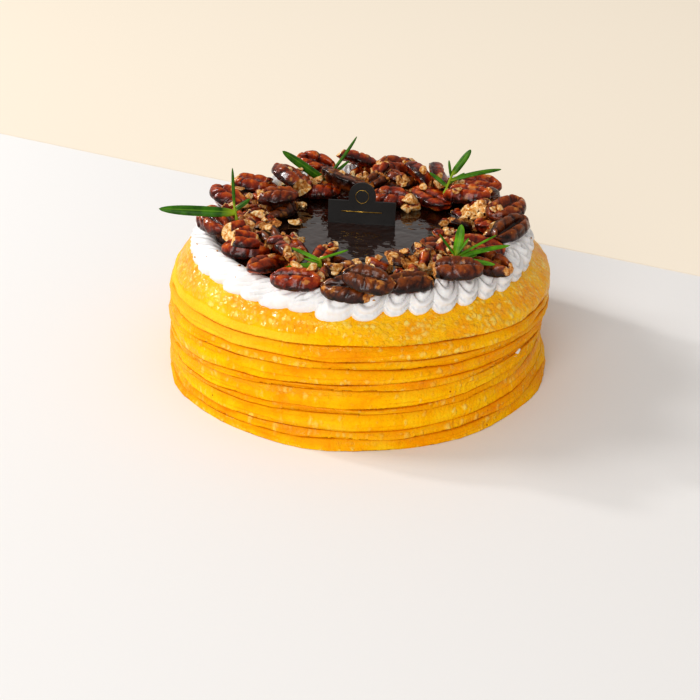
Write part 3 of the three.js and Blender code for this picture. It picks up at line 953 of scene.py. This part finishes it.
def makeBrokenKernels(ball):
    # parts of pecan halves that fill the gaps of the wreath
    pile = surfaceOf([glaze, cream, *kernels])
    leaves = surfaceOf([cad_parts["rosemary_" + name] for name in sprigs])
    draws = random.Random(77)
    form, parts, taken = brokenKernels, [], []
    for _ in range(form["tries"]):
        angle = draws.uniform(0, turn)
        out = draws.uniform(form["nearest"], form["farthest"])
        outer = (out - form["nearest"]) / (form["farthest"] - form["nearest"])
        x, y = polar(out, angle)
        x, y, _ = leaning(x, y + form["centre"] * (1 - outer), form["level"])
        hit, _ = landing(pile, x, y)
        if not hit or hit.z > form["highest"] * mm or len(parts) == form["count"]:
            continue
        if any((hit - other).length < form["spacing"] * mm for other in taken):
            continue
        lift = draws.uniform(0, form["lift"]) * outer * mm
        if leaves.find_nearest(hit + Vector((0, 0, 4 * mm)))[3] < form["clear"] * mm:
            continue
        taken.append(hit)
        up = Vector((draws.gauss(0, 0.35), draws.gauss(0, 0.35), 1)).normalized()
        spin = draws.uniform(0, turn)
        along = Vector((*polar(1, spin), 0))
        across = up.cross(along).normalized()
        along = across.cross(up)
        length, width, thick = (draws.uniform(*form[n]) * mm for n in ("length", "width", "thick"))
        thick *= lerp(0.62, 1, outer)
        shift = draws.uniform(-0.25, 0.25) * length
        middle = hit + up * (0.4 * thick + lift) - along * shift
        cuts = []
        for side in (-1, 1):
            lean = Vector((side, draws.uniform(-0.6, 0.6), draws.uniform(-0.2, 0.7))).normalized()
            cuts.append((lean, draws.uniform(*form["reach"]) + side * shift / (0.5 * length) * 0.5))
        axes = (middle, along, across, up, length, width, thick)
        parts.append(shapeKernel(ball, drawnForm(draws), 60 + 2.3 * len(parts), axes, cuts))
    print("broken kernels:", len(parts))
    return finishPiece(joined(parts), "brokenKernels", pecanMaterial)


def dropPlaces():
    pile = surfaceOf([glaze, cream, *kernels, broken])
    draws = random.Random(58)
    form, loose, specks = choppedNuts, [], []

    def drop(x, y, size, highest):
        x, y, _ = leaning(x, y, form["level"])
        hit, normal = landing(pile, x, y)
        if hit and hit.z < highest * mm and normal.z > 0.25:
            loose.append((hit, normal, size))

    for angle, out, many, size in form["clusters"]:
        for _ in range(many):
            turned = radians(angle + draws.uniform(-5, 5))
            x, y = polar(out + draws.uniform(-4, 4), turned)
            drop(x, y, size * draws.uniform(0.75, 1.15), form["clusterTop"])
    for _ in range(form["count"]):
        angle = draws.uniform(0, turn)
        out = lerp(form["nearest"], form["farthest"], draws.random())
        x, y = polar(out, angle)
        y += form["centre"] * (1 - out / form["farthest"])
        drop(x, y, draws.uniform(*form["sizes"]), form["looseTop"])
    rim = surfaceOf([cream])
    for _ in range(form["crumbs"]):
        angle = draws.uniform(0, turn)
        x, y = (draws.uniform(*form["rim"]) * share for share in polar(1, angle))
        x, y, _ = leaning(x, y, form["rimLevel"])
        hit, normal = landing(rim, x, y)
        if hit:
            specks.append((hit, normal, draws.uniform(*form["crumbSizes"])))
    return loose, specks


kernelBall = makeKernelBall(0.75)
broken = makeBrokenKernels(kernelBall)
bpy.data.objects.remove(kernelBall)
loosePlaces, speckPlaces = dropPlaces()
makeNuts("choppedNuts", loosePlaces)
makeNuts("nutCrumbs", speckPlaces)
print("nuts chopped:", len(loosePlaces))


# ---- rosemary
leafForm = {"sides": 20, "rows": 30, "thick": 0.45, "stemSides": 10, "stemRows": 14}


def makeLeaf(foot, leaf):
    # one narrow blade with a sunk midrib and rolled edges, its foot at the stem
    compass, elevation, length, width, droop, roll = leaf
    turned = (
        Matrix.Rotation(radians(compass), 3, "Z")
        @ Matrix.Rotation(-radians(elevation), 3, "Y")
        @ Matrix.Rotation(radians(roll), 3, "X")
    )
    piece = tube(leafForm["sides"], leafForm["rows"])

    def place(row, angle):
        t = row / (leafForm["rows"] - 1)
        share = 0 if angle is None else (1 - abs(2 * t ** 0.85 - 1) ** 3) ** 0.6
        angle = angle or 0
        half = width / 2 * (share if t > 0.5 else max(share, 0.25))
        across = cos(angle)
        thick = leafForm["thick"] * (0.35 + 0.65 * share)
        up = thick * sin(angle) * (1 if share else 0)
        groove = exp(-((across / 0.16) ** 2))
        if sin(angle) > 0:
            up -= 0.55 * thick * groove
        up -= 0.16 * width * across * across * share
        point = Vector((lerp(-0.6, length, t), half * across, up - droop * t * t))
        below = 1.0 if sin(angle) < -0.1 else 0.0
        across = across if share else 0.0
        return foot + turned @ point, {"across": across, "blade": t, "underside": below}

    shapeTube(piece, place)
    return piece


def makeSprig(name, stem, compass, lean, young, leaves):
    node = "rosemary_" + name
    corners = [v.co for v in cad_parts[node].data.vertices]
    lowest = min(corner.z for corner in corners)
    feet = [corner for corner in corners if corner.z < lowest + 0.9 * mm]
    foot = Vector([sum(p[i] for p in feet) / len(feet) for i in range(3)]) / mm
    lean = radians(lean)
    way = Vector((*polar(sin(lean), radians(compass)), cos(lean)))
    foot += 3 * way
    stalk = tube(leafForm["stemSides"], leafForm["stemRows"])

    def placeStem(row, angle):
        t = row / (leafForm["stemRows"] - 1)
        thick = 0 if angle is None else lerp(0.85, 0.55, t)
        angle = angle or 0
        side = Vector((cos(angle), sin(angle), 0)) * thick
        knot = 1 + 0.15 * cos(9 * t)
        point = foot + way * lerp(-3, stem, t) + side * knot
        return point, {"across": 0.0, "blade": 0.0, "underside": 0.6}

    shapeTube(stalk, placeStem)
    parts = [stalk]
    for i, leaf in enumerate(leaves):
        at = foot + way * (stem * (i + 0.7) / len(leaves))
        parts.append(makeLeaf(at, leaf))
    piece = joined(parts)
    store(piece, young=[float(young)] * len(piece.data.vertices))
    return finishPiece(piece, "rosemarySprig_" + name, rosemaryMaterial, node)


def makeRosemaryMaterial():
    # fresh rosemary: waxy green blades, paler along the midrib, at the foot and underneath
    material, add, shader = newMaterial(
        "freshRosemary", IOR=1.42, Roughness=0.4, Specular_IOR_Level=0.3,
    )
    here = add("TexCoord").outputs["Object"]
    across, blade, under, age = (
        add("Attribute", attribute_name=name).outputs["Fac"]
        for name in ("across", "blade", "underside", "young")
    )
    mottle = add("TexNoise", {"Vector": here, "Scale": 1 / 0.004, "Detail": 3})
    dark = add("ValToRGB", {"Fac": mottle}, stops=[(0.3, "1c4402"), (0.7, "3f7408")])
    bright = add("ValToRGB", {"Fac": mottle}, stops=[(0.3, "2f6408"), (0.7, "6ea81a")])
    green = add("Mix", {0: age, 6: dark, 7: bright})
    foot = add("MapRange", {"Value": blade, "From Max": 0.2, "To Min": 0.9, "To Max": 0})
    young = add("Mix", {0: foot, 6: green, 7: "a6b820"})
    off = add("Math", {0: across}, operation="ABSOLUTE")
    rib = add("MapRange", {"Value": off, "From Min": 0.16, "From Max": 0.04, "To Max": 0.35})
    ribbed = add("Mix", {0: rib, 6: young, 7: "8cb03a"})
    below = add("Math", {0: under, 1: 0.45}, operation="MULTIPLY")
    whole = add("Mix", {0: below, 6: ribbed, 7: "7f9a3a"})
    bump = add("Bump", {"Height": mottle, "Strength": 0.3, "Distance": 0.0003})
    connect(shader, {"Base Color": whole, "Normal": bump})
    return material


rosemaryMaterial = makeRosemaryMaterial()
for name, sprig in sprigs.items():
    makeSprig(name, *sprig)
print("rosemary placed")


# ---- card
cakeCard = {
    "width": 35, "shoulder": 12.1, "height": 21.8, "tab": 7, "thick": 0.9, "sunk": 1.5,
    "place": (-0.1, 6.6, 67.5), "turn": -6.6, "edge": 0.14,
    "ring": (3.4, 0.13), "rule": (21, 6.15, 6.65), "foil": 0.12,
}


def box(width, low, high, thick, y=0):
    return primitive(
        "cube", size=1, location=(0, y, (low + high) / 2 * mm),
        scale=(width * mm, thick * mm, (high - low) * mm),
    )


def stand(piece):
    # from the card's own place to where it stands in the glaze
    place = Vector(leaning(*cakeCard["place"])) * mm
    shiftX, shiftY, _ = leaning(0, 0, 1)
    sheared = Matrix(((1, 0, shiftX), (0, 1, shiftY), (0, 0, 1))).to_4x4()
    spin = Matrix.Rotation(radians(cakeCard["turn"]), 4, "Z")
    piece.data.transform(Matrix.Translation(place) @ sheared @ spin)


def makeCard():
    form = cakeCard
    thick, centre = form["thick"], form["height"] - form["tab"]
    card = box(form["width"], -form["sunk"], form["shoulder"], thick)
    neck = box(2 * form["tab"], form["shoulder"] - 2, centre, thick)
    disc = primitive(
        "cylinder", vertices=96, radius=form["tab"] * mm, depth=thick * mm,
        location=(0, 0, centre * mm), rotation=(pi / 2, 0, 0),
    )
    for part in (neck, disc):
        modified(card, "BOOLEAN", operation="UNION", object=part)
        bpy.data.objects.remove(part)
    modified(card, "BEVEL", width=form["edge"] * mm, segments=2)
    stand(card)
    return card


def makeFoil():
    form = cakeCard
    radius, line = form["ring"]
    front = -(form["thick"] / 2) * mm
    circle = primitive(
        "torus", major_radius=radius * mm, minor_radius=line * mm,
        major_segments=72, minor_segments=10, rotation=(pi / 2, 0, 0),
        location=(0, front, (form["height"] - form["tab"] - 0.3) * mm),
    )
    foil = joined([circle, box(*form["rule"], form["foil"], front)])
    stand(foil)
    return foil


# black satin board
boardMaterial = mottledMaterial(
    "blackSatinBoard", 0.0006, ("100d0b", "1b1714"), (0.0006, 3, 0.15, 0.0001), Roughness=0.42,
    IOR=1.5,
)
# hot-stamped gold foil
foilMaterial = mottledMaterial(
    "goldFoil", 0.002, ("a87b2a", "dcb356"), Roughness=0.28, Metallic=1.0,
)
card = finishPiece(makeCard(), "cakeCard", boardMaterial, "card")
only(card)
bpy.ops.object.shade_smooth_by_angle(angle=radians(35))
finishPiece(makeFoil(), "goldFoilLines", foilMaterial)
print("card stood in the glaze")


# ---- a sliver of the white filling, on the right between two hems
sliver = {"angle": -36, "height": 29, "size": (3.2, 0.8, 1.1)}
filling = primitive("uv_sphere", segments=24, ring_count=16, radius=1)
angle = radians(sliver["angle"])
radius, height = wallPoint(outlineIndex(sliver["height"]), angle)
for vertex in filling.data.vertices:
    p = Vector(a * b for a, b in zip(vertex.co, sliver["size"]))
    p.z += 0.28 * p.x
    p *= 1 + 0.15 * noise.noise(p * 0.8)
    turned = Matrix.Rotation(angle + pi / 2, 3, "Z") @ p
    spot = leaning(*polar(radius, angle), height)
    vertex.co = (Vector(spot) + turned) * mm
finishPiece(filling, "fillingSliver", creamMaterial)


# ---- floor and light
studio = {
    "floor": "f0eeec", "backdrop": "b4a999", "glow": "f9eedd", "glowStrength": 0.42,
    "world": "fffcf9", "worldStrength": 0.45,
    "softboxes": {  # place, size and power
        "fill": ((-0.75, -2.05, 0.95), 1.2, 21), "key": ((-1.45, 0.35, 1.3), 0.45, 10.2),
        "glint": ((-1.3, 0.6, 1.0), 0.12, 5.6),
    },
    # where the cream-coloured sheet lying behind the cake begins, from left to right
    "seam": [(-2.3, 1.3), (-0.272, 0.333), (-0.105, 0.248), (0.117, 0.141), (0.204, 0.098),
             (2.3, -0.95)],
    "sheetDepth": 3, "sheetHeight": 0.0004, "aim": (0, 0, 0.04),
}
floor = primitive("plane", size=8)
floor.name = "studioFloor"
# matte white paper
floorMaterial, _, _ = newMaterial("paleStudioPaper", Roughness=0.8, Base_Color=studio["floor"])
floor.data.materials.append(floorMaterial)

sheet = primitive("plane", size=1)
sheet.name = "backdropSheet"
spans = len(studio["seam"]) - 1
editAll()
bpy.ops.mesh.subdivide(number_cuts=spans - 1)
editDone()
for vertex in sheet.data.vertices:
    x, y = studio["seam"][round((vertex.co.x + 0.5) * spans)]
    vertex.co = (x, y + studio["sheetDepth"] * (vertex.co.y + 0.5), studio["sheetHeight"])
# cream-coloured paper, lit from behind
sheetMaterial, _, _ = newMaterial(
    "creamStudioPaper", Roughness=0.85, Base_Color=studio["backdrop"],
    Emission_Color=studio["glow"], Emission_Strength=studio["glowStrength"],
)
sheet.data.materials.append(sheetMaterial)

world = bpy.data.worlds.new("studioWorld")
bpy.context.scene.world = world
world.use_nodes = True
connect(world.node_tree.nodes["Background"],
        {"Color": studio["world"], "Strength": studio["worldStrength"]})
for name, (place, size, power) in studio["softboxes"].items():
    bpy.ops.object.light_add(type="AREA", location=place)
    lamp = bpy.context.object
    lamp.name = name + "Softbox"
    sight = Vector(studio["aim"]) - Vector(place)
    lamp.rotation_euler = sight.to_track_quat("-Z", "Y").to_euler()
    lamp.data.size = size
    lamp.data.energy = power
bpy.context.scene.view_settings.view_transform = "Standard"
bpy.context.scene.view_settings.look = "Medium High Contrast"
print("studio lit")
